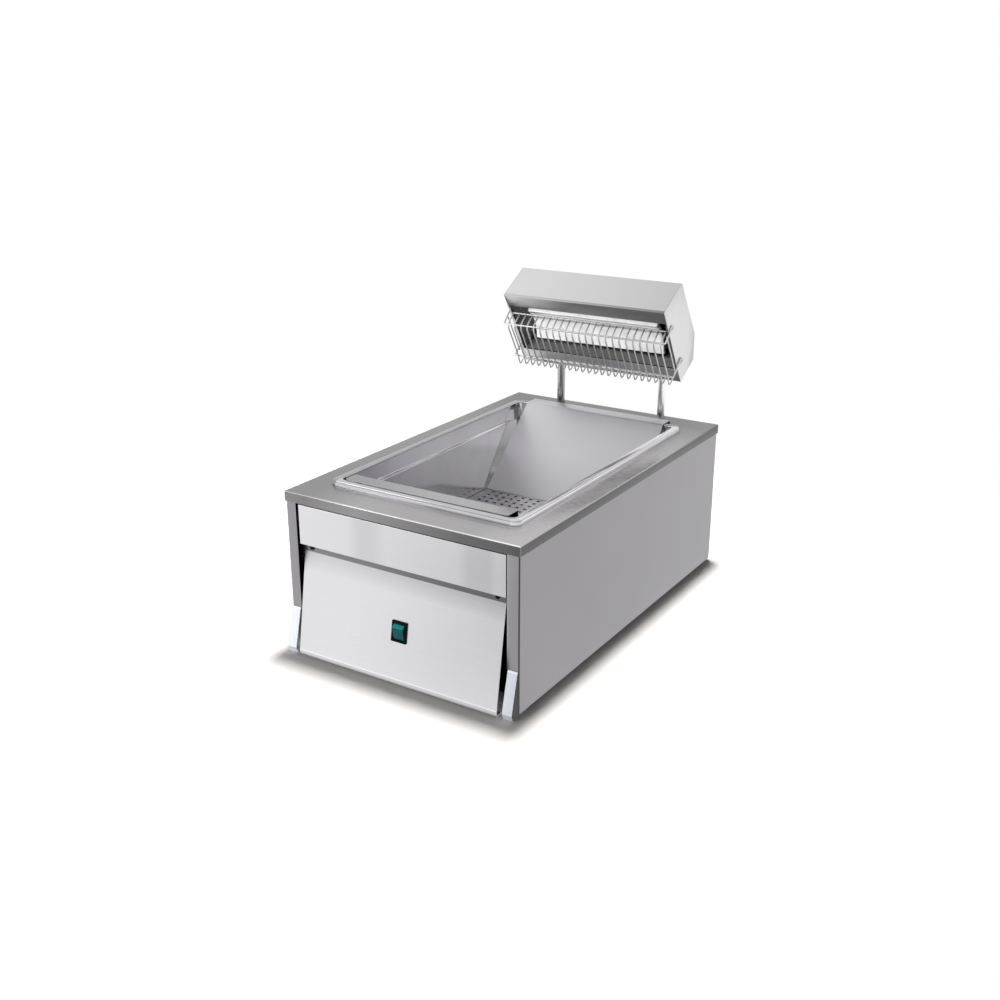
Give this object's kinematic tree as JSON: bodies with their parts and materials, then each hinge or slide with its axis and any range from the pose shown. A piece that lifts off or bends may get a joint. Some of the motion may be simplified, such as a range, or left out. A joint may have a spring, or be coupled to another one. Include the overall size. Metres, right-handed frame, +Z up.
{
  "type": "chip warmer",
  "caption": "Counter-top chip warmer: steel cabinet with a lift-out pan, perforated insert and sloping ramp plate under an infrared lamp hood with a wire guard",
  "frame": {"origin": "on the counter, under the middle of the whole object's box", "axes": "+X to the right as the user faces the switch, +Y from the front with the switch to the back with the lamp's tubes, +Z up"},
  "size_m": [0.4, 0.678, 0.4961],
  "materials": {
    "brushed_steel": "brushed stainless sheet, fine straight grain",
    "bright_brushed_steel": "bright stainless sheet with a soft directional grain",
    "satin_steel": "satin stainless sheet, smoother than the cabinet",
    "pan_steel": "drawn stainless with a soft mirror finish",
    "polished_aluminium": "polished",
    "plated_wire": "bright plated",
    "dark_screw_steel": "dark, slightly dull",
    "toe_cap_silver": "silver paint with a cool tint, satin",
    "black_rubber": "matt",
    "black_plastic": "moulded, slight sheen",
    "green_translucent_plastic": "tinted blue-green, glossy, lit from inside when on",
    "terminal_plastic": "off-white moulded plastic",
    "lead_sleeve": "heat-resistant woven sleeve",
    "white_glazed_ceramic": "white glaze"
  },
  "bodies": {
    "cabinet": {"base_tray": "brushed_steel", "cable_gland": "black_plastic", "ceramic_emitter": "white_glazed_ceramic", "deck_top": "brushed_steel", "emitter_clip": "dark_screw_steel", "front_cross_rail": "brushed_steel", "front_fascia": "bright_brushed_steel", "gland_nut": "black_plastic", "hood_screw_1": "dark_screw_steel", "hood_screw_2": "dark_screw_steel", "hood_screw_3": "dark_screw_steel", "hood_screw_4": "dark_screw_steel", "lamp_hood": "satin_steel", "lamp_lead": "lead_sleeve", "left_hood_end": "satin_steel", "left_lamp_tube": "plated_wire", "left_panel_screw": "dark_screw_steel", "left_rear_foot": "black_rubber", "left_side_panel": "brushed_steel", "left_toe_cap": "toe_cap_silver", "left_tube_clamp": "polished_aluminium", "left_tube_nut": "dark_screw_steel", "lower_front_panel": "bright_brushed_steel", "rear_cross_rail": "brushed_steel", "rear_panel": "brushed_steel", "rear_panel_screw_1": "dark_screw_steel", "rear_panel_screw_2": "dark_screw_steel", "rear_panel_screw_3": "dark_screw_steel", "rear_panel_screw_4": "dark_screw_steel", "reflector": "polished_aluminium", "right_hood_end": "satin_steel", "right_lamp_tube": "plated_wire", "right_panel_screw": "dark_screw_steel", "right_rear_foot": "black_rubber", "right_side_panel": "brushed_steel", "right_toe_cap": "toe_cap_silver", "right_tube_clamp": "polished_aluminium", "right_tube_nut": "dark_screw_steel", "switch_housing": "black_plastic", "switch_lead": "lead_sleeve", "terminal_block": "terminal_plastic", "wire_guard": "plated_wire"},
    "rocker": {"switch_rocker": "green_translucent_plastic"},
    "pan": {"pan": "pan_steel"},
    "insert": {"perforated_insert": "pan_steel"},
    "ramp": {"ramp_plate": "bright_brushed_steel"}
  },
  "joints": [
    {"name": "rocker_tilt", "type": "hinge", "parent": "cabinet", "child": "rocker", "pos_m": [0.005, -0.32442, 0.07931], "axis": [-1, 0, 0], "range_deg": [0, 16]},
    {"name": "pan_lift", "type": "slide", "parent": "cabinet", "child": "pan", "axis": [0, 0, 1], "range_m": [0, 0.022]},
    {"name": "insert_lift", "type": "slide", "parent": "pan", "child": "insert", "axis": [0, 0, 1], "range_m": [0, 0.018]},
    {"name": "ramp_lift", "type": "slide", "parent": "insert", "child": "ramp", "axis": [0, 0, 1], "range_m": [0, 0.022]}
  ]
}
